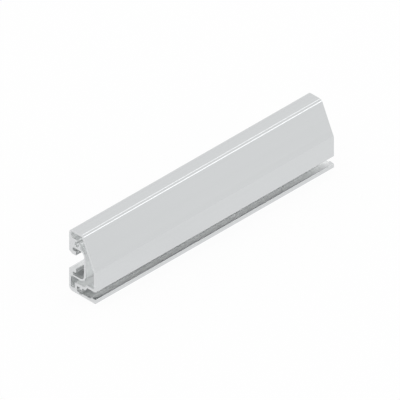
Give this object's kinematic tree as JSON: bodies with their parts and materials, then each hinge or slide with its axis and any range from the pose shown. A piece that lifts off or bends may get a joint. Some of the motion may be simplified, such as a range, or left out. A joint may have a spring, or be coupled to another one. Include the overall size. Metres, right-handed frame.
{
  "type": "aluminium extrusion profile",
  "caption": "Hollow aluminium bar stock with a T-slot along its back, a slanted front face, a panel groove along its foot and a screw port inside.",
  "frame": {"origin": "middle of the underside, halfway along the length and halfway between the back and front faces", "axes": "+X along the length, +Y out of the T-slot at the back, -Y towards the slanted front, +Z from the underside to the top"},
  "size_m": [0.203, 0.0226, 0.045],
  "materials": {
    "anodised_aluminium": "natural anodised, matt"
  },
  "bodies": {
    "root": {"extrusion_profile": "anodised_aluminium"}
  },
  "joints": []
}
